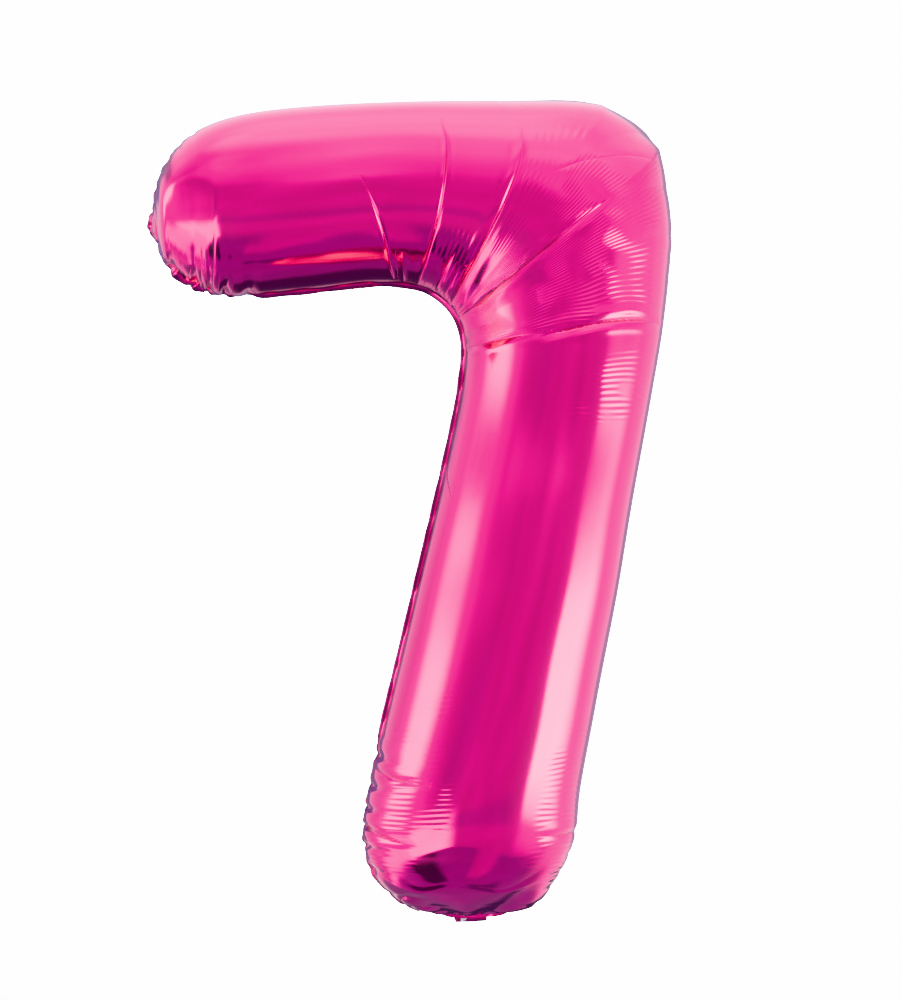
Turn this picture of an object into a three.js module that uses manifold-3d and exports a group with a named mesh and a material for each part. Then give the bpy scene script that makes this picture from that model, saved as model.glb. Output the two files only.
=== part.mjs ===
// Foil number balloon: an inflated figure seven.
// Two shaped sheets of metallised film are heat-sealed together round their edge, and gas
// bows them out into a bent tube with near-round sections. The seal margin stands round the
// tube as a thin flat fin. At the foot both sheets run on as a narrow inflation tail, which
// folds at its root, and a pair of clear valve films lies flat inside the tail and the foot.
//
// Millimetres, +Z up, +X to the right as the figure is read, so that its front faces -Y.
// The origin is the middle of the tail's fold line, under the foot, where a ribbon is tied.
// The two sheets meet at the plane Y = 0. The tail is drawn tucked back under the foot.
// The real film is about 0.04 mm thick. It is drawn thicker, so that each sheet is a solid.
import * as THREE from "three";
import { mergeVertices } from "three/addons/utils/BufferGeometryUtils.js";
import Module from "manifold-3d";

const wasm = await Module();
wasm.setup();

// ---- driving dimensions ----
const FILM = 0.8; // drawn thickness of a foil sheet
const VALVE_FILM = 0.4; // drawn thickness of a valve film
const GAP = 0.3; // clearance between sheets that touch on the real balloon
const MARGIN = 4.5; // width of the seal margin outside the seam line
const FOOT_HEIGHT = 8; // from the fold line up to the lowest point of the seam line
const ALONG = 46; // steps along the stroke of the figure
const AROUND = 14; // steps across one sheet, from seam to seam

const TAIL_WIDTH = 30;
const TAIL_LENGTH = 72;
const TAIL_ROOT = 5; // from the fold line to where the tail's own solids start
const TAIL_CORNER = 5;
const TAIL_SEAL = 3.5; // width of the sealed strip down each side of the tail
const TUCK = (105 * Math.PI) / 180; // how far it is folded back from hanging straight down
const CHANNEL = GAP / 2 + VALVE_FILM + GAP; // half the thickness of the channel for the valve
const VALVE_WIDTH = 22;
const VALVE_TOP = 74; // height that the valve reaches to inside the foot
const VALVE_FOOT = 3; // height of the valve's lower end, in the neck of the foot
const VALVE_MOUTH = 5; // how far the valve stops short of the tail's open end
const NECK_TOP = 16; // height of the neck, the way through the seal for the valve

// The seam line is drawn as pairs of points across the stroke, from the tip of the arm to
// the bottom of the foot: [outer edge x, z, inner edge x, z, half depth there]. The outer
// edge is the top and the right side, and the inner edge is the underside of the arm, the
// crook and the left side of the leg. Heights are above the lowest point of the seam.
const STATIONS = [
  [-311, 657, -311, 657, 0],
  [-302, 707, -297, 622, 52],
  [-277, 742, -275, 602, 74],
  [-233, 764, -234, 594, 86],
  [-160, 778, -160, 602, 91],
  [-66, 788, -98, 611, 92],
  [30, 795, -57, 610, 97],
  [116, 799, -32, 600, 103],
  [179, 770, -14, 580, 105],
  [201, 704, -7, 556, 105],
  [199, 618, -8, 528, 102],
  [180, 502, -15, 484, 98],
  [161, 403, -37, 386, 99],
  [143, 305, -60, 290, 101],
  [123, 208, -83, 195, 102],
  [107, 125, -101, 118, 96],
  [101, 74, -105, 75, 84],
  [85, 36, -92, 37, 62],
  [58, 5, -56, 8, 33],
  [0, 0, 0, 0, 0],
];

// A curve through one pair of columns of the table, with the same parameter for each.
const throughStations = (i, j) =>
  new THREE.SplineCurve(STATIONS.map((s) => new THREE.Vector2(s[i], s[j])));
const outerEdge = throughStations(0, 1);
const innerEdge = throughStations(2, 3);
const halfDepth = throughStations(4, 4);

// ---- helpers ----
// A closed solid from a list of closed rings with the same number of points, whose first
// and last rings are single points. Triangles that the merging flattens are left out.
function solidFromRings(rings) {
  const count = rings[0].length;
  const geometry = new THREE.BufferGeometry().setFromPoints(rings.flat());
  const index = [];
  rings.slice(1).forEach((_, i) => {
    for (let j = 0; j < count; j++) {
      const a = i * count + j;
      const b = i * count + ((j + 1) % count);
      index.push(a, b, a + count, b, b + count, a + count);
    }
  });
  geometry.setIndex(index);
  return toManifold(geometry);
}

function toManifold(geometry) {
  const bare = geometry.clone();
  bare.deleteAttribute("normal");
  bare.deleteAttribute("uv");
  const merged = mergeVertices(bare, 1e-4);
  const old = merged.index.array;
  const kept = [];
  for (let i = 0; i < old.length; i += 3) {
    const [a, b, c] = old.subarray(i, i + 3);
    if (a !== b && b !== c && c !== a) kept.push(a, b, c);
  }
  const vertProperties = merged.attributes.position.array;
  const build = (list) =>
    new wasm.Manifold(new wasm.Mesh({ numProp: 3, vertProperties, triVerts: new Uint32Array(list) }));
  const solid = build(kept);
  return solid.volume() > 0 ? solid : build(kept.reverse());
}

function toGeometry(solid) {
  const mesh = solid.getMesh();
  const geometry = new THREE.BufferGeometry();
  geometry.setAttribute("position", new THREE.BufferAttribute(new Float32Array(mesh.vertProperties), 3));
  geometry.setIndex(new THREE.BufferAttribute(new Uint32Array(mesh.triVerts), 1));
  geometry.computeVertexNormals();
  return geometry;
}

// ---- the two shaped sheets ----
// One bowed half as a solid dome, whose section between the two seam points is half an
// ellipse. side is -1 for the front and +1 for the back, inset takes the dome in all round,
// and base is how far its flat face stands from the plane Y = 0.
function dome(side, inset, base) {
  const rings = [];
  for (let i = 0; i <= ALONG; i++) {
    const outer = outerEdge.getPoint(i / ALONG);
    const inner = innerEdge.getPoint(i / ALONG);
    const middle = outer.clone().add(inner).multiplyScalar(0.5);
    const across = outer.clone().sub(middle);
    const width = Math.max(across.length() - inset, 0);
    const depth = width > 0 ? Math.max(halfDepth.getPoint(i / ALONG).x - inset, 0) : 0;
    across.setLength(width);
    const ring = [];
    for (let j = 0; j <= AROUND; j++) {
      const angle = (Math.PI * j) / AROUND;
      const at = middle.clone().addScaledVector(across, Math.cos(angle));
      const high = depth > 0 ? base + (depth + GAP / 2 - base) * Math.sin(angle) : base;
      ring.push(new THREE.Vector3(at.x, side * high, at.y));
    }
    rings.push(ring);
  }
  return solidFromRings(rings);
}

// The outline of the sheet: the seam line moved out by the seal margin.
function marginOutline() {
  const steps = 2 * ALONG;
  const seam = [];
  for (let i = 0; i < steps; i++) seam.push(outerEdge.getPoint(i / steps));
  for (let i = steps; i > 0; i--) seam.push(innerEdge.getPoint(i / steps));
  const count = seam.length;
  const outline = seam.map((point, i) => {
    const along = seam[(i + 1) % count].clone().sub(seam[(i + count - 1) % count]).normalize();
    return point.clone().addScaledVector(new THREE.Vector2(-along.y, along.x), MARGIN);
  });
  return new THREE.Shape(outline);
}

// A box whose lowest and highest corners are given.
function block(low, high) {
  const size = high.map((h, i) => h - low[i]);
  const middle = high.map((h, i) => (h + low[i]) / 2);
  return new THREE.BoxGeometry(...size).translate(...middle);
}

// One sheet: a flat margin with a bowed middle, and at the foot a flat neck, whose channel
// lets the valve films through the seal.
function foilSheet(side) {
  const plate = new THREE.ExtrudeGeometry(marginOutline(), { depth: FILM, bevelEnabled: false });
  plate.rotateX(Math.PI / 2).translate(0, side > 0 ? FILM + GAP / 2 : -GAP / 2, 0);
  const near = (side * GAP) / 2;
  const far = side * (CHANNEL + FILM);
  const half = TAIL_WIDTH / 2;
  const bottom = FOOT_HEIGHT - MARGIN;
  const neck = block([-half, Math.min(near, far), bottom], [half, Math.max(near, far), NECK_TOP]);
  const wide = half - TAIL_SEAL;
  const channel = block([-wide, -CHANNEL, bottom - 1], [wide, CHANNEL, NECK_TOP]);
  const lifted = (solid) => solid.translate([0, 0, FOOT_HEIGHT]);
  const sheet = lifted(toManifold(plate).add(dome(side, 0, GAP / 2)))
    .add(toManifold(neck))
    .subtract(lifted(dome(side, FILM, -FILM)))
    .subtract(toManifold(channel));
  return toGeometry(sheet);
}

// ---- the tail and the valve ----
// Tail pieces are drawn hanging straight down from the fold line and folded back by the
// group that holds them.
const tailOutline = () => {
  const half = TAIL_WIDTH / 2;
  const low = -TAIL_ROOT - TAIL_LENGTH + TAIL_CORNER;
  const shape = new THREE.Shape();
  shape.moveTo(-half, -TAIL_ROOT);
  shape.lineTo(-half, low);
  shape.absarc(-half + TAIL_CORNER, low, TAIL_CORNER, Math.PI, 1.5 * Math.PI);
  shape.absarc(half - TAIL_CORNER, low, TAIL_CORNER, 1.5 * Math.PI, 2 * Math.PI);
  shape.lineTo(half, -TAIL_ROOT);
  return shape;
};

// One foil of the tail: flat outside, and thicker down both sides, where it is sealed to
// the other one, so that the pair makes a flat channel for the valve films.
function tailFoil(side) {
  const depth = CHANNEL + FILM - GAP / 2;
  const whole = new THREE.ExtrudeGeometry(tailOutline(), { depth, bevelEnabled: false, curveSegments: 4 });
  whole.rotateX(Math.PI / 2).translate(0, side > 0 ? depth + GAP / 2 : -GAP / 2, 0);
  const wide = TAIL_WIDTH / 2 - TAIL_SEAL;
  const end = -TAIL_ROOT - TAIL_LENGTH;
  const channel = block([-wide, -CHANNEL, end - 1], [wide, CHANNEL, -TAIL_ROOT + 1]);
  return toGeometry(toManifold(whole).subtract(toManifold(channel)));
}

// A valve film: a thin strip next to the plane Y = 0, from one height to another.
function valveFilm(side, low, high) {
  const near = (side * GAP) / 2;
  const far = side * (GAP / 2 + VALVE_FILM);
  const half = VALVE_WIDTH / 2;
  return block([-half, Math.min(near, far), low], [half, Math.max(near, far), high]);
}

// ---- materials ----
const foil = new THREE.MeshStandardMaterial({ color: 0xe0117f, roughness: 0.12, metalness: 1 });
const clearFilm = new THREE.MeshStandardMaterial({
  color: 0xe6e9ec,
  roughness: 0.25,
  metalness: 0,
  transparent: true,
  opacity: 0.4,
});

function named(name, geometry, material) {
  const mesh = new THREE.Mesh(geometry, material);
  mesh.name = name;
  return mesh;
}

// ---- assembly ----
const balloon = new THREE.Group();
const tail = new THREE.Group();
tail.rotation.x = TUCK;
balloon.add(tail);

const tailEnd = -TAIL_ROOT - TAIL_LENGTH;
const sides = [["front", -1], ["back", 1]];
for (const [word, side] of sides) {
  balloon.add(
    named(`${word}_foil`, foilSheet(side), foil),
    named(`valve_${word}_film`, valveFilm(side, VALVE_FOOT, VALVE_TOP), clearFilm),
  );
  tail.add(
    named(`tail_${word}_foil`, tailFoil(side), foil),
    named(`tail_valve_${word}_film`, valveFilm(side, tailEnd + VALVE_MOUTH, -TAIL_ROOT), clearFilm),
  );
}

export default balloon;
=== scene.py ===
"""Looks of a foil number balloon, the figure seven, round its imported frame.

Two magenta foil sheets bow out from one seam. The stroke of the figure is a bent tube, whose
film folds across the bend, wrinkles finely beside the folds and puckers round both ends.
Metres, +Z up, and the front of the figure faces -Y.
"""
import math

import bmesh
import bpy
import numpy as np
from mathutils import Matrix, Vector


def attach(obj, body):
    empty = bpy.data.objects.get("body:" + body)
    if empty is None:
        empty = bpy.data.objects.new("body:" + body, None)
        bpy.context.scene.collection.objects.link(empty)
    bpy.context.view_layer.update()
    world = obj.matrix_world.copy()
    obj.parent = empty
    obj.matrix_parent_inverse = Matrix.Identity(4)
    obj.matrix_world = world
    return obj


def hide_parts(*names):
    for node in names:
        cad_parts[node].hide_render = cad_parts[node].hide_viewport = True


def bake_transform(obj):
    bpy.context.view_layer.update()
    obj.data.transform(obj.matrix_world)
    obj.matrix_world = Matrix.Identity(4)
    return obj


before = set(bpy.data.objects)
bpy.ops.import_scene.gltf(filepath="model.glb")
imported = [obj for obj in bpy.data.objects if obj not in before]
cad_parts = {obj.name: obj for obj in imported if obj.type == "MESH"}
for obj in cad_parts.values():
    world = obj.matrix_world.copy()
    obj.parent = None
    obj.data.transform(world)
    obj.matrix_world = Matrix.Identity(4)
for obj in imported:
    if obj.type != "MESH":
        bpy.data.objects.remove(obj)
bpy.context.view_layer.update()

MM = 0.001

# ---- sizes of the film and the seam, as the frame has them ----
FILM = 0.25 * MM  # drawn thickness of a sheet
SEAL = 0.3 * MM  # from the seam's middle plane to the outer face of a sheet
MARGIN = 4.5 * MM  # width of the seal margin
FOOT_HEIGHT = 8 * MM  # from the fold line of the tail up to the lowest point of the seam
FOLD = math.radians(105)  # how far the tail is folded back from hanging straight down
TAIL_END = 77 * MM  # length of the tail from the fold line
TAIL_TOP = 6 * MM  # height that its own film starts at, inside the neck
NECK_OPEN = 0.95 * MM  # how far each sheet stands further out at the mouth of the neck
TAIL_WIDTH = 30 * MM
VALVE_WIDTH = 22 * MM
VALVE_TOP = 74 * MM  # height that the valve reaches to inside the foot
VALVE_END = 72 * MM  # length of the valve down the tail, from the fold line

# The seam in pairs of points across the stroke, from the tip of the arm to the foot, in mm:
# outer edge x, z, inner edge x, z, and half the depth of the tube there.
STATIONS = np.array([
    (-311, 657, -311, 657, 0),
    (-302, 707, -297, 622, 52),
    (-277, 742, -275, 602, 74),
    (-233, 764, -234, 594, 86),
    (-160, 778, -160, 602, 91),
    (-66, 788, -98, 611, 92),
    (30, 795, -57, 610, 97),
    (116, 799, -32, 600, 103),
    (179, 770, -14, 580, 105),
    (201, 704, -7, 556, 105),
    (199, 618, -8, 528, 102),
    (180, 502, -15, 484, 98),
    (161, 403, -37, 386, 99),
    (143, 305, -60, 290, 101),
    (123, 208, -83, 195, 102),
    (107, 125, -101, 118, 96),
    (101, 74, -105, 75, 84),
    (85, 36, -92, 37, 62),
    (58, 5, -56, 8, 33),
    (0, 0, 0, 0, 0),
]) * MM
LAST = len(STATIONS) - 1

# ---- fineness of the mesh ----
ACROSS = 76  # steps across one sheet, from seam to seam
MARGIN_STEPS = 3
SHARP_ANGLE = math.radians(50)  # edges that turn by more than this are shaded sharp
# Row spacing along the crown: from station, to station, millimetres.
FINE_ROWS = ((0, 3, 1.9), (4.4, 10.6, 1.45), (14.3, 16.6, 1.5), (16.6, 19, 1.9))
PLAIN_ROW = 4.5
FINE_SOFT = 0.25  # stations over which the spacing changes
ROW_SAMPLES = 4001

# ---- folds and flats of the film ----
# Folds that cross the bend. Each is a line of places along the stroke, given in stations at
# the outer edge, the crown and the inner edge of the stroke.
BEND_FOLDS = (
    (4.96, 5.52, 6.07),
    (5.55, 6.54, 7.53),
    (7.10, 7.45, 7.82),
    (8.22, 8.36, 8.06),
    (9.62, 9.10, 8.55),
    (10.45, 10.24, 9.20),
)
BACK_SHIFT = (0.3, 0.2, 0.1)  # how much further along the same three the back sheet's folds lie
# Flats at the two ends: between each pair of lines the film runs straight along the stroke.
CAP_FOLDS = ((1.05, 1.05, 1.05), (2.62, 2.62, 2.62))
FOOT_FOLDS = ((16.3, 16.02, 16.2), (16.95, 17.02, 16.98), (18.3, 18.5, 18.3))
# How straight the film runs between the folds, and from where to where across, with the soft
# edge on both sides.
BEND_STRAIGHT, BEND_ACROSS = 0.55, (0.14, 0.9, 0.12)
CAP_STRAIGHT, CAP_ACROSS = 0.85, (0.54, 0.97, 0.14)
FOOT_STRAIGHT, FOOT_ACROSS = 0.7, (0.38, 0.72, 0.18)
FOOT_WANDER = 0.14  # how far the foot's folds wander along the stroke, in stations
WANDER_RATE = 19  # phase of that wave from one seam to the other, in radians

# The lip of the foot: a roll of film above a sharp line, which rises towards its two ends.
LIP_MIDDLE = (17.02, 0.54)  # station and place across of the middle of the line
LIP_BOW = 5.0  # its rise in stations, times the square of the distance across from the middle
LIP_ROLL = (0.45, 0.35)  # how far the roll lies from the line, and its width, in stations
LIP_LINE = 0.09  # width of the line's valley, in stations
LIP_ACROSS = (0.36, 0.72, 0.1)

# ---- fine wrinkles ----
FAN_COUNTS = (0, 9, 18, 32, 45, 61)  # wrinkles counted up to each fold of the bend
FAN_STATIONS = (3.5, 10.55)  # between these they are counted by the folds
RING_SPACING = 5.3  # elsewhere they lie this far apart along the stroke, in mm
RING_BOW = 5.0  # their bow in turns, times the square of the distance across from the crown
# Patches: height in mm, how the place along is counted, from, to and soft edge along, and from,
# to and soft edge across. A gap is the film between two neighbouring folds of the bend.
WRINKLE_PATCHES = (
    (0.10, "gap", (0.1, 1.0, 0.2), (0.70, 0.93, 0.05)),
    (0.07, "gap", (1.1, 1.95, 0.2), (0.36, 0.66, 0.12)),
    (0.12, "gap", (2.15, 3.0, 0.2), (0.42, 0.74, 0.10)),
    (0.13, "gap", (3.1, 4.9, 0.1), (0.26, 0.64, 0.08)),
    (0.10, "gap", (3.2, 4.9, 0.1), (0.78, 0.94, 0.05)),
    (0.09, "station", (10.65, 11.2, 0.1), (0.20, 0.44, 0.10)),
    (0.13, "station", (14.75, 15.6, 0.15), (0.66, 0.90, 0.05)),
    (0.035, "station", (13.9, 14.7, 0.3), (0.66, 0.84, 0.06)),
    (0.11, "station", (14.5, 16.9, 0.4), (0.13, 0.32, 0.06)),
    (0.08, "station", (15.9, 16.6, 0.2), (0.76, 0.94, 0.06)),
    (0.06, "station", (1.0, 2.5, 0.2), (0.74, 0.95, 0.06)),
)

# ---- gathers of the seam ----
# Gathered stretches of each edge, measured along the seam from the tip of the arm or from the
# foot: strength, from, to and soft edge, in metres.
ARM_GATHERS = {"outer": ((0.7, 0.015, 0.10, 0.02),), "inner": ((1.0, 0.015, 0.125, 0.02),)}
FOOT_GATHERS = {
    "outer": ((0.45, 0.02, 0.15, 0.02),),
    "inner": ((1.0, 0.125, 0.235, 0.015), (0.45, 0.02, 0.11, 0.02)),
}
CORNER_GATHER = (0.4, 0.735, 0.03)  # outer edge only: strength, place from the foot, width
ARM_PUCKER = (0.021, 0.014)  # length of one pucker, and of the wave that spaces them unevenly
FOOT_PUCKER = (0.022, 0.017)
PUCKER_DRIFT = 1.3  # how uneven their spacing is, in radians
PUCKER_SWAY = 2.0 * MM  # to the front and back
PUCKER_PINCH = 3.2 * MM  # inwards, in the plane of the seam
PINCH_LEAD = 0.6  # the pinch peaks this far before the sway crosses the middle, in radians
GATHER_REACH = 12 * MM  # how far the gathers carry into the bowed film
HOLLOW_REACH, HOLLOW_START = 22 * MM, 6 * MM  # how far beside them the film sinks, from where
HOLLOW_PINCH, HOLLOW_SWAY = 1.1, 0.3  # how deep it sinks, as shares of the pinch and the sway

# ---- lean of the seal margin, in degrees to the back ----
MARGIN_LEAN = 34
GATHERED_LEAN = 50  # further, where the seam is gathered
LEAN_RIPPLE = 9  # slow change along the seam
SWAY_LEAN = 110  # change with the sway of the puckers, in radians a metre
GATHERED_WIDTH = 0.1  # how much wider the margin is where gathered, as a share
NECK_HALF, NECK_TOP = 30 * MM, 50 * MM  # round the neck the margin neither leans nor widens

# ---- creases and dents ----
DENT_DEPTH, DENT_LENGTH = 0.8 * MM, 0.16  # slow dents over each sheet
DENT_ACROSS = (0.2, 0.8, 0.2)
DENT_SEED = {-1: 5, 1: 6}
WRINKLE_SEED = {-1: 11, 1: 47}
# The soft ridge beside a crease: its height as a share of the depth, its place in widths, and
# its spread in widths squared.
CREASE_RIDGE = (0.4, 2.3, 1.6)
CREASE_FADE_IN, CREASE_FADE_OUT = (-0.08, 0.1), (0.6, 1.06)  # as shares of its length
CREASE_MARK_FADE = (4 * MM, 8 * MM)  # from where to where its mark for the paint fades out
NO_CREASE = 50 * MM  # offset that stands for no crease near by
# Creases: start (station, place across), end, depth of the valley mm, its width mm, and
# sharpness of the line at its bottom. The place across runs from 0 at the outer edge to 1 at
# the inner edge.
FRONT_CREASES = (
    ((5.36, 0.94), (4.50, 0.52), 0.3, 1.8, 2.2),
    ((6.05, 0.96), (5.28, 0.26), 0.3, 1.8, 2.6),
    ((7.46, 0.96), (6.32, 0.34), 1.2, 3.4, 2.2),
    ((8.08, 0.96), (8.38, 0.40), 1.1, 3.0, 2.0),
    ((9.26, 0.97), (10.10, 0.62), 1.2, 3.0, 1.0),
    ((10.10, 0.62), (10.42, 0.14), 1.8, 3.6, 2.0),
    ((6.75, 0.97), (6.42, 0.74), 1.0, 2.6, 0.9),
    ((5.66, 0.97), (5.30, 0.78), 0.9, 2.6, 0.9),
    ((7.85, 0.97), (7.70, 0.80), 0.8, 2.6, 0.8),
    ((8.70, 0.97), (9.05, 0.80), 0.8, 2.6, 0.8),
    ((7.10, 0.97), (6.90, 0.80), 0.6, 2.4, 0.7),
    ((7.29, 0.47), (8.62, 0.18), 0.5, 2.2, 0.5),
    ((8.20, 0.02), (7.40, 0.42), 1.3, 9.0, 0.0),
    ((8.18, 0.00), (8.16, 0.12), 2.2, 4.0, 1.6),
    ((8.95, 0.02), (8.62, 0.34), 1.0, 8.0, 0.2),
    ((9.55, 0.02), (9.30, 0.36), 1.0, 5.0, 0.2),
    ((14.60, 1.01), (14.79, 0.70), 1.8, 3.4, 2.0),
    ((15.64, 1.01), (15.93, 0.70), 1.8, 3.4, 2.0),
    ((15.92, -0.01), (15.74, 0.36), 1.5, 3.2, 1.8),
    ((11.60, 0.97), (11.90, 0.86), 1.2, 3.0, 1.2),
    ((2.62, 1.00), (2.60, 0.62), 0.6, 2.6, 1.2),
    ((2.86, 1.00), (2.92, 0.84), 0.8, 2.4, 1.0),
    ((2.30, 1.00), (2.22, 0.82), 0.7, 2.4, 0.9),
    ((1.80, 1.00), (1.92, 0.84), 0.7, 2.4, 0.8),
    ((1.50, 0.00), (1.62, 0.22), 0.8, 3.0, 0.8),
    ((0.90, 0.02), (1.20, 0.30), 0.8, 3.0, 0.9),
    ((17.75, 0.98), (17.30, 0.80), 0.8, 2.6, 1.2),
    ((18.55, 0.75), (18.20, 0.66), 0.5, 2.4, 0.8),
    ((17.20, 0.02), (17.05, 0.20), 0.8, 2.6, 1.0),
)
BACK_CREASES = (
    ((5.70, 0.95), (5.20, 0.45), 1.2, 3.2, 1.4),
    ((6.60, 0.96), (6.05, 0.30), 1.5, 3.6, 1.6),
    ((7.30, 0.96), (7.05, 0.52), 1.3, 3.0, 1.4),
    ((7.90, 0.96), (8.25, 0.35), 1.6, 4.0, 1.6),
    ((8.90, 0.97), (9.75, 0.30), 1.6, 3.6, 1.7),
    ((9.60, 0.97), (10.55, 0.66), 1.0, 3.0, 1.2),
    ((8.20, 0.02), (7.60, 0.40), 1.3, 9.0, 0.2),
    ((14.20, 1.00), (14.45, 0.76), 1.4, 3.0, 1.6),
    ((15.30, 0.00), (15.15, 0.30), 1.5, 3.0, 1.6),
    ((15.95, 1.00), (16.05, 0.70), 1.5, 3.0, 1.6),
    ((2.30, 1.00), (2.65, 0.55), 0.9, 3.5, 1.2),
    ((1.60, 0.00), (1.75, 0.30), 0.8, 3.0, 1.0),
)


def seam_at(k):
    """Outer seam point, inner seam point and half depth at places k in stations.

    A uniform Catmull-Rom curve runs through the columns of STATIONS, with its end points
    repeated, and the foot's height above the fold line is added to z.
    """
    k = np.clip(k, 0, LAST)
    i = np.minimum(np.floor(k).astype(int), LAST - 1)
    w = (k - i)[..., None]
    p0, p1 = STATIONS[np.maximum(i - 1, 0)], STATIONS[i]
    p2, p3 = STATIONS[i + 1], STATIONS[np.minimum(i + 2, LAST)]
    v0, v1 = (p2 - p0) / 2, (p3 - p1) / 2
    c = (2 * p1 - 2 * p2 + v0 + v1) * w**3 + (-3 * p1 + 3 * p2 - 2 * v0 - v1) * w**2 + v0 * w + p1
    lift = np.array([0, FOOT_HEIGHT])
    return c[..., 0:2] + lift, c[..., 2:4] + lift, np.maximum(c[..., 4], 0)


def tube(k, t):
    """The smooth tube at places k along and t across: half an ellipse over each seam pair."""
    outer, inner, depth = seam_at(k)
    angle = np.pi * t
    flat = (outer + inner) / 2 + (outer - inner) / 2 * np.cos(angle)[..., None]
    return np.stack([flat[..., 0], -depth * np.sin(angle), flat[..., 1]], -1)


def smooth(x, low, high):
    """0 below low, 1 above high, and an S curve between."""
    u = np.clip((x - low) / (high - low), 0, 1)
    return u * u * (3 - 2 * u)


def window(x, low, high, soft):
    """1 between low and high, falling to 0 over soft outside them."""
    return smooth(x, low - soft, low) * (1 - smooth(x, high, high + soft))


def waves(x, z, length, seed, count=9):
    """Gentle noise, mostly from -1 to 1: a sum of count plane waves about length long."""
    rng = np.random.default_rng(seed)
    total = np.zeros(np.broadcast(x, z).shape)
    for _ in range(count):
        turn, phase = rng.uniform(0, 2 * np.pi, 2)
        rate = 2 * np.pi / (length * rng.uniform(0.7, 1.5))
        total += np.sin(rate * (np.cos(turn) * x + np.sin(turn) * z) + phase)
    return total / math.sqrt(count)


def row_places():
    """Places of the rows in stations, so that the spacing along the crown is as asked."""
    k = np.linspace(0, LAST, ROW_SAMPLES)
    crown = tube(k, np.full_like(k, 0.5))
    run = np.linalg.norm(np.diff(crown, axis=0), axis=1)
    spacing = np.full(len(k) - 1, PLAIN_ROW)
    for low, high, fine in FINE_ROWS:
        inside = window((k[1:] + k[:-1]) / 2, low, high, FINE_SOFT)
        spacing = spacing + (fine - spacing) * inside
    count = np.concatenate([[0], np.cumsum(run / (spacing * MM))])
    rows = int(count[-1])
    return np.interp(np.linspace(0, count[-1], rows + 1), count, k)


K = row_places()[:, None]
T = np.linspace(0, 1, ACROSS + 1)[None, :]
K, T = np.broadcast_arrays(K, T)


def fold_places(folds, t):
    """Where each fold lies at t: a parabola through its three places in stations."""
    a, b, c = np.array(folds).T[:, :, None, None]
    return a * (1 - t) * (1 - 2 * t) + b * 4 * t * (1 - t) + c * t * (2 * t - 1)


def foot_wander(t):
    """How far the folds of the foot lie off their places at t, in stations: a sine across."""
    return FOOT_WANDER * np.sin(WANDER_RATE * t)


def straightened(k, t, base, folds, strength, across, wander=0.0):
    """The surface base with straight runs of film between the folds.

    Between two neighbouring folds the film is the straight line from one to the other,
    shared out by place along the stroke, and it is mixed with the base by the strength,
    inside the window across. The wander is added to the place of every fold.
    Also returns how many folds lie before each point, with its share of the next gap, and
    -1 outside the folds.
    """
    places = fold_places(folds, t) + wander
    share = np.zeros_like(k)
    straight = base.copy()
    step = np.full_like(k, -1.0)
    for i, (low, high) in enumerate(zip(places[:-1], places[1:])):
        inside = (k >= low) & (k < high)
        w = np.clip((k - low) / (high - low), 0, 1)
        run = tube(low, t) * (1 - w)[..., None] + tube(high, t) * w[..., None]
        straight[inside] = run[inside]
        step[inside] = (i + w)[inside]
        share[inside] = 1
    mix = share * (strength * window(t, *across))
    return base + (straight - base) * mix[..., None], step


def folded_tube(k, t, folds):
    """The tube with its folds across the bend and its flats at the two ends."""
    points, step = straightened(k, t, tube(k, t), folds, BEND_STRAIGHT, BEND_ACROSS)
    points, _ = straightened(k, t, points, CAP_FOLDS, CAP_STRAIGHT, CAP_ACROSS)
    points, _ = straightened(k, t, points, FOOT_FOLDS, FOOT_STRAIGHT, FOOT_ACROSS, foot_wander(t))
    return points, step


def normals_of(points, side):
    """Unit normals of a grid of points, pointing away from the plane of the seam."""
    along, across = np.gradient(points, axis=0), np.gradient(points, axis=1)
    normal = np.cross(along, across)
    normal /= np.maximum(np.linalg.norm(normal, axis=-1, keepdims=True), 1e-12)
    if np.sum(normal[..., 1] * side) < 0:
        normal = -normal
    return normal


def valleys(k, t, points, creases):
    """Depth of the creases, with the offset and strength of the nearest one for the paint.

    Each crease is a valley along a line, with a soft ridge beside it. The distance from the
    line is measured along the stroke, in metres. The valley's depth falls off as
    exp(-|d| / width) and fades out over the two ends of the line.
    """
    run = np.linalg.norm(np.gradient(points, axis=0), axis=-1) / np.gradient(k, axis=0)
    ridge, ridge_place, ridge_spread = CREASE_RIDGE
    height = np.zeros_like(k)
    nearest = np.full_like(k, NO_CREASE)
    strength = np.zeros_like(k)
    for (k0, t0), (k1, t1), deep, wide, sharp in creases:
        w = (t - t0) / (t1 - t0)
        offset = (k - (k0 + (k1 - k0) * w)) * run
        away = np.abs(offset) / (wide * MM)
        ends = smooth(w, *CREASE_FADE_IN) * (1 - smooth(w, *CREASE_FADE_OUT))
        shape = -np.exp(-away) + ridge * np.exp(-((away - ridge_place) ** 2) / ridge_spread)
        height += deep * MM * ends * shape
        closer = (np.abs(offset) < np.abs(nearest)) & (ends * sharp > 0.02)
        nearest[closer] = offset[closer]
        mark = sharp * ends * (1 - smooth(np.abs(offset), *CREASE_MARK_FADE))
        strength[closer] = mark[closer]
    return height, nearest, strength


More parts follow.
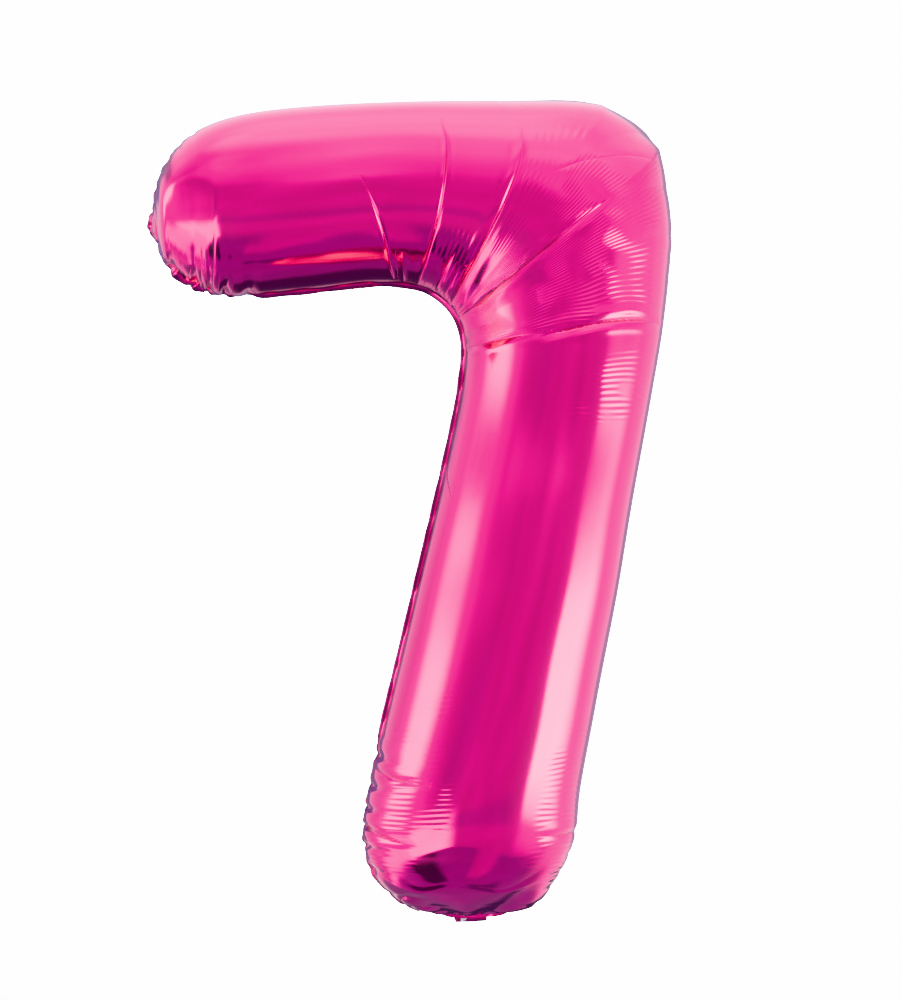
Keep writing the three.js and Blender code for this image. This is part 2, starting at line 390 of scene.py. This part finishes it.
def fine_wrinkles(k, t, step, points, seed):
    """Phase in turns and height in millimetres of the fine wrinkles beside the folds.

    They are short ripples that run across the stroke. Over the bend their phase is counted
    between folds, so that they spread like a fan. Down the leg it is counted in millimetres
    along the stroke. Slow noise breaks them up.
    """
    x, z = points[..., 0], points[..., 2]
    drift = 0.2 * waves(x, z, 0.05, seed)
    patchy = np.clip(0.6 + 0.55 * waves(x, z, 0.03, seed + 1), 0, 1.4)
    mm = np.cumsum(np.linalg.norm(np.gradient(points[:, ACROSS // 2], axis=0), axis=1)) / MM
    fan = np.interp(step, range(len(FAN_COUNTS)), FAN_COUNTS)
    rings = mm[:, None] / RING_SPACING - RING_BOW * (t - 0.5) ** 2
    places = {"gap": step, "station": k}
    height = np.zeros_like(k)
    for high, counted, along, across in WRINKLE_PATCHES:
        patch = high * window(places[counted], *along) * window(t, *across)
        height = np.maximum(height, patch)
    low, high = FAN_STATIONS
    phase = np.where((k > low) & (k < high), fan, rings)
    return phase + drift, height * patchy


def seam_run(edge):
    """Length along one edge of the seam from the tip of the arm, and from the foot."""
    run = np.concatenate([[0], np.cumsum(np.linalg.norm(np.diff(edge, axis=0), axis=1))])
    return run, run[-1] - run


def puckers(arm, foot, edge):
    """Gathers of the seam at the two ends and the corner, as (sway, pinch, gather).

    arm and foot are lengths along the seam from the two tips, and edge is outer or inner.
    The sway carries the seam to the front and back, and the pinch draws it inwards, both in
    metres. The sway is a sine, and the pinch is a narrow peak once a pucker: a raised cosine
    to the fourth power. The gather, from 0 to 1, says how much the seam is gathered there.
    """
    gather = np.zeros_like(arm)
    for run, stretches in ((arm, ARM_GATHERS[edge]), (foot, FOOT_GATHERS[edge])):
        for strong, low, high, soft in stretches:
            gather += strong * window(run, low, high, soft)
    if edge == "outer":
        strong, place, wide = CORNER_GATHER
        gather += strong * np.exp(-(((foot - place) / wide) ** 2))
    sign = -1 if edge == "inner" else 1
    length, drift = ARM_PUCKER
    near_arm = 2 * np.pi * sign * arm / length + PUCKER_DRIFT * np.sin(sign * arm / drift)
    length, drift = FOOT_PUCKER
    near_foot = 2 * np.pi * sign * foot / length + PUCKER_DRIFT * np.sin(foot / drift)
    turn = np.where(foot < arm, near_foot, near_arm)
    sway = PUCKER_SWAY * gather * np.sin(turn)
    pinch = PUCKER_PINCH * gather * (0.5 + 0.5 * np.cos(turn + PINCH_LEAD)) ** 4
    return sway, pinch, np.clip(gather, 0, 1)


def outward(edge, other):
    """Unit vectors in the seam's plane, square to an edge and away from the other edge."""
    along = np.gradient(edge, axis=0)
    square = np.stack([-along[:, 1], along[:, 0]], 1)
    square /= np.maximum(np.linalg.norm(square, axis=1, keepdims=True), 1e-9)
    turn = np.sign(np.sum(square * (edge - other), axis=1))
    turn[turn == 0] = 1
    return square * turn[:, None]


def seam_edges():
    """Both edges of the gathered seam: points, outward directions, sway, pinch and gather."""
    outer, inner, _ = seam_at(K[:, 0])
    edges = []
    for name, edge, other in (("outer", outer, inner), ("inner", inner, outer)):
        out = outward(edge, other)
        out[0], out[-1] = (-1, 0), (0, -1)
        arm, foot = seam_run(edge)
        edges.append((edge, out) + puckers(arm, foot, name))
    return edges


EDGES = seam_edges()


def foot_lip(k, t):
    """Height of the lip of the foot: a rounded roll, less a sharp valley along its line."""
    station, place = LIP_MIDDLE
    roll_place, roll_width = LIP_ROLL
    along = k - station + LIP_BOW * (t - place) ** 2 - foot_wander(t)
    roll = np.exp(-(((along + roll_place) / roll_width) ** 2))
    return MM * (roll - np.exp(-np.abs(along) / LIP_LINE)) * window(t, *LIP_ACROSS)


def sheet_points(side):
    """The bowed part of one sheet, with the numbers its paint needs.

    The points are a grid: rows along, columns across. The folded tube takes its creases and
    slow dents along its normals, and they fade to nothing at the seam. Near the seam it
    follows the gathers, which die away with the distance round the tube. The paint needs the
    phase and height of the fine wrinkles, and the offset and strength of the nearest crease.
    """
    front = side < 0
    folds = BEND_FOLDS if front else tuple(np.add(BEND_FOLDS, BACK_SHIFT))
    points, step = folded_tube(K, T, folds)
    points[..., 1] *= -side
    normal = normals_of(points, side)
    height, offset, strength = valleys(K, T, points, FRONT_CREASES if front else BACK_CREASES)
    phase, ripple = fine_wrinkles(K, T, step, points, WRINKLE_SEED[side])
    dents = waves(points[..., 0], points[..., 2], DENT_LENGTH, DENT_SEED[side])
    height += DENT_DEPTH * dents * window(T, *DENT_ACROSS)
    if front:
        height += foot_lip(K, T)
    height *= np.sin(np.pi * T) ** 0.5
    girth = np.linalg.norm(np.gradient(points, axis=1), axis=-1)
    girth = np.cumsum(girth, axis=1) - girth[:, :1]
    points = points + normal * height[..., None]
    reach = (girth, girth[:, -1:] - girth)
    for (_, out, sway, pinch, _), away in zip(EDGES, reach):
        near = np.exp(-away / GATHER_REACH)
        hollow = np.exp(-away / HOLLOW_REACH) * (1 - np.exp(-away / HOLLOW_START))
        points[..., 1] += sway[:, None] * near
        points[..., 0] -= (pinch * out[:, 0])[:, None] * near
        points[..., 2] -= (pinch * out[:, 1])[:, None] * near
        deep = HOLLOW_PINCH * pinch + HOLLOW_SWAY * side * sway
        points -= normal * (deep[:, None] * hollow)[..., None]
    points[..., 1] += side * SEAL
    return points, (phase, ripple, offset / MM, strength)


def round_loop(outer, inner):
    """Values round the whole seam: down the outer edge and back up the inner one."""
    return np.concatenate([outer, inner[-2:0:-1]])


def margin_rings():
    """The seal margin outside the seam: rings of points, from the seam outwards.

    Each ring stands further out and to the back. The margin leans back most where the seam
    is gathered, and there its lean comes and goes with the gathers. Also returns how far each
    sheet stands off the middle plane: more in the neck, which the valve and the tail fill.
    """
    edge, out, sway, pinch, gather = (round_loop(a, b) for a, b in zip(*EDGES))
    edge = edge - out * pinch[:, None]
    ripple = waves(edge[:, 0], edge[:, 1], 0.03, 21)
    neck = np.exp(-((edge[:, 0] / NECK_HALF) ** 4)) * (edge[:, 1] < NECK_TOP)
    lean = np.radians(MARGIN_LEAN + GATHERED_LEAN * gather + LEAN_RIPPLE * ripple) * (1 - neck)
    lean += SWAY_LEAN * sway * gather
    wide = MARGIN * (1 + GATHERED_WIDTH * gather * (1 - neck))
    rings, stand_off = [], []
    for i in range(1, MARGIN_STEPS + 1):
        reach = wide * i / MARGIN_STEPS
        at = edge + out * (reach * np.cos(lean))[:, None]
        rings.append(np.stack([at[:, 0], sway + reach * np.sin(lean), at[:, 1]], 1))
        stand_off.append(SEAL + NECK_OPEN * neck * i / MARGIN_STEPS)
    return rings, stand_off


# ---- meshes ----
def make_piece(name, points, quads, triangles=()):
    """A mesh object at the origin from an array of points and lists of faces."""
    faces = [np.asarray(q).reshape(-1, 4) for q in quads]
    mesh = bpy.data.meshes.new(name)
    mesh.from_pydata(
        points.reshape(-1, 3).tolist(), [], [f for q in faces for f in q.tolist()] + list(triangles)
    )
    mesh.polygons.foreach_set("use_smooth", np.ones(len(mesh.polygons), bool))
    mesh.update()
    piece = bpy.data.objects.new(name, mesh)
    bpy.context.scene.collection.objects.link(piece)
    return piece


def grid_quads(index):
    """Quads over a grid of vertex numbers."""
    corners = [index[:-1, :-1], index[:-1, 1:], index[1:, 1:], index[1:, :-1]]
    return np.stack(corners, -1).reshape(-1, 4)


def face_outwards(mesh, side):
    """Turns all faces of a sheet the same way: away from the seam's plane at its crown."""
    work = bmesh.new()
    work.from_mesh(mesh)
    bmesh.ops.recalc_face_normals(work, faces=work.faces)
    crown = max(work.faces, key=lambda face: abs(face.calc_center_median().y))
    if crown.normal.y * side < 0:
        bmesh.ops.reverse_faces(work, faces=work.faces)
    work.to_mesh(mesh)
    work.free()


def write_values(mesh, name, values):
    """Writes one number for each point of a mesh, for its paint to read."""
    layer = mesh.attributes.new(name, "FLOAT", "POINT")
    layer.data.foreach_set("value", values.astype(np.float32))


def thicken(piece, thickness):
    """Gives a sheet its drawn thickness, inwards from the face that shows."""
    wall = piece.modifiers.new("film", "SOLIDIFY")
    wall.thickness = thickness
    wall.offset = -1


# What the paint reads at each point of the film.
WRINKLE_MARKS = ("wrinkle_turns", "wrinkle_height", "crease_offset", "crease_strength")
# painted shade on the seal margin and at the tail's root, read by the foil's paint
PAINTED_SHADE_MARK = "seal_painted_shade"


def seal_painted_shade():
    """How much painted shade the seal margin takes round the loop, from 0 to 1.

    The inner edge is darkest, less so at the foot, and the outer edge is darker at the arm's tip.
    """
    foot = smooth(K[:, 0], 15.8, 17.4)
    tip = 1 - smooth(K[:, 0], 1.5, 3.5)
    return round_loop(0.25 + 0.6 * tip, 1 - 0.6 * foot)


def foil_sheet(name, side):
    """One shaped sheet: the bowed part closed to a point at both tips, and its seal margin."""
    points, marks = sheet_points(side)
    rows, cols = points.shape[:2]
    middle = points[1:-1].reshape(-1, 3)
    tips = np.stack([points[0, 0], points[-1, 0]])
    first, last = len(middle), len(middle) + 1
    index = np.arange(len(middle)).reshape(rows - 2, cols)
    loop = np.concatenate([[first], index[:, 0], [last], index[::-1, -1]])
    rings, stand_off = margin_rings()
    count = len(loop)
    ring_index = [loop] + [last + 1 + i * count + np.arange(count) for i in range(len(rings))]
    for ring, off in zip(rings, stand_off):
        ring[:, 1] += side * off
    closed = np.array([np.append(r, r[0]) for r in ring_index])
    fans = [(first, index[0, j + 1], index[0, j]) for j in range(cols - 1)]
    fans += [(last, index[-1, j], index[-1, j + 1]) for j in range(cols - 1)]
    fans = [tuple(int(v) for v in fan) for fan in fans]
    everything = np.concatenate([middle, tips, *rings])
    piece = make_piece(name, everything, [grid_quads(index), grid_quads(closed)], fans)
    mesh = piece.data
    face_outwards(mesh, side)
    mesh.set_sharp_from_angle(angle=SHARP_ANGLE)
    for mark, values in zip(WRINKLE_MARKS, marks):
        full = np.zeros(len(everything))
        full[: len(middle)] = values[1:-1].reshape(-1)
        write_values(mesh, mark, full)
    # painted shade on the seal margin's rings; the bowed film takes none
    shade = np.zeros(len(everything))
    for ring in ring_index[1:]:
        shade[ring] = seal_painted_shade()
    write_values(mesh, PAINTED_SHADE_MARK, shade)
    thicken(piece, FILM)
    return piece


# ---- materials ----
class Socket:
    """A shader socket that adds, subtracts and multiplies like a number."""

    def __init__(self, paint, socket):
        self.paint, self.socket = paint, socket

    def _math(self, kind, a, b=0.0):
        return self.paint.node("ShaderNodeMath", {"operation": kind}, [a, b])

    def __add__(self, other):
        return self._math("ADD", self, other)

    def __sub__(self, other):
        return self._math("SUBTRACT", self, other)

    def __rsub__(self, other):
        return self._math("SUBTRACT", other, self)

    def __mul__(self, other):
        return self._math("MULTIPLY", self, other)

    __radd__, __rmul__ = __add__, __mul__


class Paint:
    """A material or world under construction: node() adds any node, returning one output."""

    def __init__(self, owner):
        owner.use_nodes = True
        self.tree = owner.node_tree

    def node(self, kind, settings=None, inputs=(), output=0):
        made = self.tree.nodes.new(kind)
        for key, value in (settings or {}).items():
            setattr(made, key, value)
        pairs = inputs.items() if isinstance(inputs, dict) else enumerate(inputs)
        for key, value in pairs:
            self.feed(made.inputs[key], value)
        return None if output is None else Socket(self, made.outputs[output])

    def feed(self, socket, value):
        if isinstance(value, Socket):
            self.tree.links.new(value.socket, socket)
        else:
            socket.default_value = value

    def surface(self, **inputs):
        """Sets the main shader's sockets, named with _ for each space, and returns its output."""
        shader = self.tree.nodes["Principled BSDF"]
        for key, value in inputs.items():
            self.feed(shader.inputs[key.replace("_", " ")], value)
        return Socket(self, shader.outputs[0])


def object_place(paint):
    return paint.node("ShaderNodeTexCoord", output="Object")


def noise(paint, place, scale, detail=2.0, rough=0.5):
    inputs = {"Vector": place, "Scale": scale, "Detail": detail, "Roughness": rough}
    return paint.node("ShaderNodeTexNoise", {}, inputs)


def between(paint, share, low, high, label=""):
    """A colour mixed from low to high by a share from 0 to 1."""
    settings = {"data_type": "RGBA", "label": label}
    return paint.node("ShaderNodeMix", settings, {0: share, 6: low, 7: high}, 2)


def mirror_foil():
    """Magenta metallised film: a dyed mirror with a clear coat.

    A bump adds the fine wrinkles as a sine of their phase, the sharp bottoms of the creases
    as exp(-|offset|), and a slight crinkle. The seal margin is mixed by its painted shade
    towards a rougher, less shiny, near-black film: shade painted into the margin's colour.
    """
    material = bpy.data.materials.new("magenta_foil")
    paint = Paint(material)
    place = object_place(paint)
    cloud = noise(paint, place, 9.0, 3.0)
    speckle = noise(paint, place, 420.0, 2.0, 0.7)
    crinkle = noise(paint, place, 55.0, 4.0, 0.6)
    magenta = between(paint, cloud, (0.69, 0.003, 0.205, 1), (0.74, 0.006, 0.235, 1))
    # painted shade: the near-black colour that the seal margin is mixed towards
    sealed = between(paint, cloud, (0.018, 0.002, 0.022, 1), (0.05, 0.003, 0.045, 1))
    turns, high, offset, strength, seal = (
        paint.node("ShaderNodeAttribute", {"attribute_name": mark}, output="Fac")
        for mark in (*WRINKLE_MARKS, PAINTED_SHADE_MARK)
    )
    wave = paint.node("ShaderNodeMath", {"operation": "SINE"}, [turns * (2 * math.pi)])
    off = paint.node("ShaderNodeMath", {"operation": "ABSOLUTE"}, [offset])
    crease = paint.node("ShaderNodeMath", {"operation": "EXPONENT"}, [off * -1.0]) * strength * -0.6
    relief = wave * high + crease + crinkle * 0.05 + speckle * 0.004
    bump = paint.node("ShaderNodeBump", {}, {"Strength": 1.0, "Distance": MM, "Height": relief})
    mirror = paint.surface(
        Base_Color=magenta,
        Metallic=1.0,
        Roughness=cloud * 0.05 + 0.07,
        Coat_Weight=0.5,
        Coat_Roughness=0.3,
        Coat_IOR=1.5,
        Normal=bump,
    )
    # the seal margin's painted shade: a rough, near-black film mixed in by its painted shade value
    painted_shade_inputs = {"Base Color": sealed, "Roughness": cloud * 0.1 + 0.3, "Normal": bump}
    painted_shade_inputs["Specular IOR Level"] = 0.2
    dull_painted_shade_film = paint.node("ShaderNodeBsdfPrincipled", {}, painted_shade_inputs)
    both = paint.node("ShaderNodeMixShader", {}, [seal * 0.85, mirror, dull_painted_shade_film])
    paint.feed(paint.tree.nodes["Material Output"].inputs["Surface"], both)
    return material


def clear_film():
    """Clear valve film: thin glossy plastic with a slightly milky, handled surface."""
    material = bpy.data.materials.new("clear_film")
    paint = Paint(material)
    place = object_place(paint)
    cloud = noise(paint, place, 60.0, 3.0)
    crinkle = noise(paint, place, 240.0, 3.0, 0.6)
    tone = between(paint, cloud, (0.80, 0.83, 0.86, 1), (0.92, 0.93, 0.95, 1))
    bump = paint.node("ShaderNodeBump", {}, {"Strength": 0.1, "Distance": 0.0006, "Height": crinkle})
    paint.surface(
        Base_Color=tone, Roughness=cloud * 0.12 + 0.18, Alpha=cloud * 0.15 + 0.35, Normal=bump
    )
    return material


FOIL = mirror_foil()
CLEAR = clear_film()


def finish_piece(piece, material):
    piece.data.materials.append(material)


# ---- the two shaped sheets ----
for word, side in (("front", -1), ("back", 1)):
    sheet = foil_sheet(f"{word}_foil_sheet", side)
    finish_piece(sheet, FOIL)
    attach(sheet, "balloon")
    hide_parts(f"{word}_foil")


# ---- tail and valve ----
FOLD_RADIUS = 2.6 * MM
STRIP_ROWS, STRIP_COLUMNS = 150, 25
ROOT = 12 * MM  # length from its top over which a strip opens to its full puff
# A strip reaches from its top to its end. It stands off the middle plane by the gap at its
# sides and by the puff more in the middle, and its end has round corners.
TAIL = {
    "top": TAIL_TOP,
    "end": TAIL_END,
    "width": TAIL_WIDTH,
    "gap": 0.7 * MM,
    "puff": 0.9 * MM,
    "corner": 5 * MM,
    "thickness": FILM,
    "seed": 31,
    # painted shade at the tail's root, in the neck
    "root_painted_shade": 0.9,
}
VALVE = {
    "top": VALVE_TOP,
    "end": VALVE_END,
    "width": VALVE_WIDTH,
    "gap": 0.12 * MM,
    "puff": 0.12 * MM,
    "corner": 1 * MM,
    "thickness": 0.12 * MM,
    "seed": 35,
    "root_painted_shade": 0,
}


def folded_path(top, end, bend_radius, count):
    """Points down the middle of a strip that hangs from height top and folds at the origin.

    It comes straight down, turns through FOLD on an arc that is tangent to both runs, and
    runs straight to its end. Returns (y, z), the unit normals, which point to the front,
    the run of each point down the strip and the strip's whole length.
    """
    touch = bend_radius * math.tan(FOLD / 2)
    down, arc = top - touch, bend_radius * FOLD
    total = down + arc + end - touch
    run = np.linspace(0, 1, count) * total
    turn = np.clip((run - down) / bend_radius, 0, FOLD)
    past = np.maximum(run - down - arc, 0)
    y = bend_radius * (1 - np.cos(turn)) + past * math.sin(FOLD)
    z = np.where(run < down, top - run, touch - bend_radius * np.sin(turn)) - past * math.cos(FOLD)
    normal = np.stack([-np.cos(turn), -np.sin(turn)], 1)
    return np.stack([y, z], 1), normal, run, total


def strip(name, side, *, top, end, width, gap, puff, corner, thickness, seed, root_painted_shade):
    """A strip of film along the folded path.

    Across, it is flat at both sealed sides and stands off by puff in the middle, as half a
    cosine. Slow waves crinkle it, and others that it shares with its pair bend both.
    """
    path, normal, run, total = folded_path(top, end, FOLD_RADIUS, STRIP_ROWS)
    u = np.linspace(-1, 1, STRIP_COLUMNS)
    into = np.maximum(corner - (total - run), 0)
    inset = corner - np.sqrt(np.maximum(corner**2 - into**2, 0))
    x = (width / 2 - inset)[:, None] * u[None, :]
    down = np.broadcast_to(run[:, None], x.shape)
    open_part = window(run, ROOT, total, 0.01)[:, None]
    rise = puff * (0.5 + 0.5 * np.cos(np.pi * np.clip(u * 1.25, -1, 1)))[None, :]
    crinkle = 0.15 * MM * waves(x, down, 0.022, seed)
    shared = 0.5 * MM * waves(down, x * 0.5, 0.05, 77)
    off = shared * open_part - side * (gap + (rise + crinkle) * open_part)
    y = path[:, 0][:, None] + normal[:, 0][:, None] * off
    z = path[:, 1][:, None] + normal[:, 1][:, None] * off
    quads = grid_quads(np.arange(x.size).reshape(x.shape))
    if side < 0:
        quads = quads[:, ::-1]
    piece = make_piece(name, np.stack([x, y, z], -1), [quads])
    # painted shade at the root of the strip, fading out from 10 to 16 mm down it
    if root_painted_shade:
        shade = root_painted_shade * (1 - smooth(run, 0.010, 0.016))
        write_values(piece.data, PAINTED_SHADE_MARK, np.repeat(shade, STRIP_COLUMNS))
    thicken(piece, thickness)
    return piece


for word, side in (("front", -1), ("back", 1)):
    tail = strip(f"tail_{word}_sheet", side, **TAIL)
    finish_piece(tail, FOIL)
    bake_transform(tail)
    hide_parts(f"tail_{word}_foil")
    valve = strip(f"valve_{word}_sheet", side, **VALVE)
    finish_piece(valve, CLEAR)
    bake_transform(valve)
    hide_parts(f"valve_{word}_film", f"tail_valve_{word}_film")


# ---- studio ----
FLOOR_RADIUS, FLOOR_SIDES = 1.1, 96
FLOOR_MIDDLE = (0, 0.1, -0.65)


def floor():
    """A plain pale round floor well under the balloon, which floats above it."""
    turn = np.linspace(0, 2 * np.pi, FLOOR_SIDES + 1)[:-1]
    rim = np.stack([np.cos(turn), np.sin(turn), 0 * turn], 1) * FLOOR_RADIUS + FLOOR_MIDDLE
    mesh = bpy.data.meshes.new("floor")
    mesh.from_pydata(rim.tolist(), [], [list(range(FLOOR_SIDES))])
    plate = bpy.data.objects.new("floor", mesh)
    bpy.context.scene.collection.objects.link(plate)
    material = bpy.data.materials.new("pale_floor")
    paint = Paint(material)
    grain = noise(paint, object_place(paint), 3.0)
    tone = between(paint, grain, (0.80, 0.80, 0.81, 1), (0.84, 0.84, 0.85, 1))
    paint.surface(Base_Color=tone, Roughness=0.8)
    mesh.materials.append(material)
    plate.visible_glossy = False


floor()


# Soft boxes and shades round the balloon, laid over each other in turn: name, middle bearing,
# half width, soft edge at its left and right, lowest and highest elevation, soft edge below and
# above, colour, strength, and how much of what is under it a patch covers. All angles are in
# degrees. Bearing 0 is in front of the figure, and +90 is to its right.
WHITE, COOL, VIOLET, NAVY = (1, 1, 1), (0.88, 0.92, 1.22), (0.75, 0.9, 1.15), (0.62, 0.5, 1.15)
STUDIO = (
    ("front haze", 0, 180, 0, 0, 20, 90, 9, 0, WHITE, 1.3, 1.0),
    ("pale ceiling", 0, 180, 0, 0, 40, 90, 24, 0, WHITE, 1.8, 1.0),
    ("dim upper left", -98, 42, 24, 24, 30, 64, 14, 16, WHITE, 1.25, 0.9),
    ("upper right wall", 42, 28, 22, 30, 14, 66, 8, 12, WHITE, 1.65, 1.0),
    ("bright upper right", 40, 30, 22, 30, 44, 90, 14, 0, WHITE, 2.6, 1.0),
    ("ceiling light", 0, 180, 0, 0, 74, 90, 20, 0, WHITE, 3.8, 0.9),
    ("bright ceiling behind", 160, 90, 30, 40, 46, 66, 20, 16, WHITE, 2.4, 1.0),
    ("behind", 180, 50, 30, 30, -10, 26, 10, 16, COOL, 0.5, 1.0),
    ("left wall", -103, 36, 16, 18, -24, 20, 14, 12, WHITE, 1.6, 1.0),
    ("left corner", -146, 16, 10, 16, -40, 10, 12, 8, WHITE, 1.25, 1.0),
    ("right wall", 88, 38, 12, 22, -36, 16, 16, 16, WHITE, 1.75, 1.0),
    ("left soft box", -93, 8, 16, 16, 2, 11, 15, 11, WHITE, 8.5, 1.0),
    ("left low soft box", -88, 12, 22, 18, -44, -34, 9, 12, WHITE, 4.0, 1.0),
    ("small soft box", -49, 17, 9, 14, -46, -28, 5, 9, WHITE, 5.5, 1.0),
    ("left floor light", -122, 16, 12, 14, -62, -50, 6, 6, WHITE, 4.0, 0.9),
    ("right soft box", 60, 13, 6, 24, -20, -11, 12, 13, WHITE, 13.0, 1.0),
    ("dim room", -36, 7, 8, 12, -12, 6, 7, 7, VIOLET, 0.74, 0.3),
    ("dim table", 2, 24, 18, 14, -31, -27, 5, 5, VIOLET, 0.66, 0.5),
    ("dim floor", 0, 180, 0, 0, -90, -58, 0, 14, VIOLET, 0.64, 0.95),
    ("low front light", 18, 9, 8, 12, -72, -48, 8, 6, WHITE, 0.92, 0.9),
    ("low floor behind", 180, 34, 20, 14, -62, -38, 8, 10, VIOLET, 0.55, 1.0),
    ("dark wall behind", 160, 14, 10, 12, -48, -26, 8, 8, NAVY, 0.14, 1.0),
    ("dark stand", -62, 16, 10, 12, -76, -55, 6, 5, NAVY, 0.10, 0.95),
    ("dark chair", 98, 12, 10, 10, -84, -74, 6, 6, NAVY, 0.3, 0.9),
    ("dark doorway", -168, 9, 10, 6, -16, 14, 8, 10, NAVY, 0.42, 0.95),
    ("rim light", 150, 12, 12, 12, -14, 20, 10, 10, COOL, 0.55, 1.0),
)
ROOM_LIGHT = 0.93  # the plain light behind them all
UNEVEN = (0.70, 0.6)  # the whole light is scaled by the first, plus noise times the second
GROUND = 6.0  # strength of the plain white ground that the camera itself sees


def studio_world():
    """The light all round, from the table of soft boxes, and a white ground for the camera.

    A direction's bearing is the arctangent of x over -y, and its elevation is the arcsine of
    z. Each row of the table is a patch in those two angles, mixed over the rows before it.
    """
    world = bpy.data.worlds.new("studio")
    bpy.context.scene.world = world
    paint = Paint(world)
    paint.tree.nodes.clear()
    place = paint.node("ShaderNodeTexCoord", output="Generated")
    x, y, z = (paint.node("ShaderNodeSeparateXYZ", {}, [place], axis) for axis in "XYZ")
    bearing = paint.node("ShaderNodeMath", {"operation": "ARCTAN2"}, [x, y * -1.0])
    rise = paint.node("ShaderNodeMath", {"operation": "ARCSINE"}, [z])

    def ease(value, low, high):
        """0 at low and below, 1 at high and above, in degrees."""
        settings = {"interpolation_type": "SMOOTHSTEP", "clamp": True}
        ends = {0: value, 1: math.radians(low), 2: math.radians(high), 3: 0.0, 4: 1.0}
        return paint.node("ShaderNodeMapRange", settings, ends)

    light = (ROOM_LIGHT, ROOM_LIGHT, ROOM_LIGHT, 1)
    for name, middle, half, left, right, low, high, below, above, tint, strength, cover in STUDIO:
        patch = cover
        if half < 180:
            turned = [bearing - math.radians(middle), math.pi, -math.pi]
            off = paint.node("ShaderNodeMath", {"operation": "WRAP"}, turned)
            patch = ease(off, -half - left, -half) * (1 - ease(off, half, half + right)) * patch
        if low > -90:
            patch = ease(rise, low - below, low) * patch
        if high < 90:
            patch = (1 - ease(rise, high, high + above)) * patch
        colour = tuple(c * strength for c in tint) + (1,)
        light = between(paint, patch, light, colour, name)
    least, more = UNEVEN
    scale = noise(paint, place, 3.2, 2.0) * more + least
    light = paint.node("ShaderNodeVectorMath", {"operation": "SCALE"}, {0: light, "Scale": scale})
    room = paint.node("ShaderNodeBackground", {}, [light, 1.0])
    plain = paint.node("ShaderNodeBackground", {}, [(1, 1, 1, 1), GROUND])
    seen_directly = paint.node("ShaderNodeLightPath", output="Is Camera Ray")
    mixed = paint.node("ShaderNodeMixShader", {}, [seen_directly, room, plain])
    paint.node("ShaderNodeOutputWorld", {}, [mixed], output=None)


studio_world()


# ---- camera ----
CAMERA_TURN, CAMERA_RISE = math.radians(-11), math.radians(-3)
CAMERA_AWAY = 1.45  # from the point that it aims at
CAMERA_AIM = (-0.0202, 0, 0.408)
LENS, SENSOR = 53.4, 36  # mm


def camera():
    """The camera stands to the left of the figure, a little below its middle."""
    level = math.cos(CAMERA_RISE)
    back = np.array(
        [math.sin(CAMERA_TURN) * level, -math.cos(CAMERA_TURN) * level, math.sin(CAMERA_RISE)]
    )
    data = bpy.data.cameras.new("camera")
    data.sensor_width = SENSOR
    data.lens = LENS
    eye = bpy.data.objects.new("camera", data)
    bpy.context.scene.collection.objects.link(eye)
    eye.location = CAMERA_AIM + back * CAMERA_AWAY
    eye.rotation_euler = Vector(-back).to_track_quat("-Z", "Y").to_euler()
    bpy.context.scene.camera = eye
    bpy.context.scene.view_settings.view_transform = "Khronos PBR Neutral"


camera()
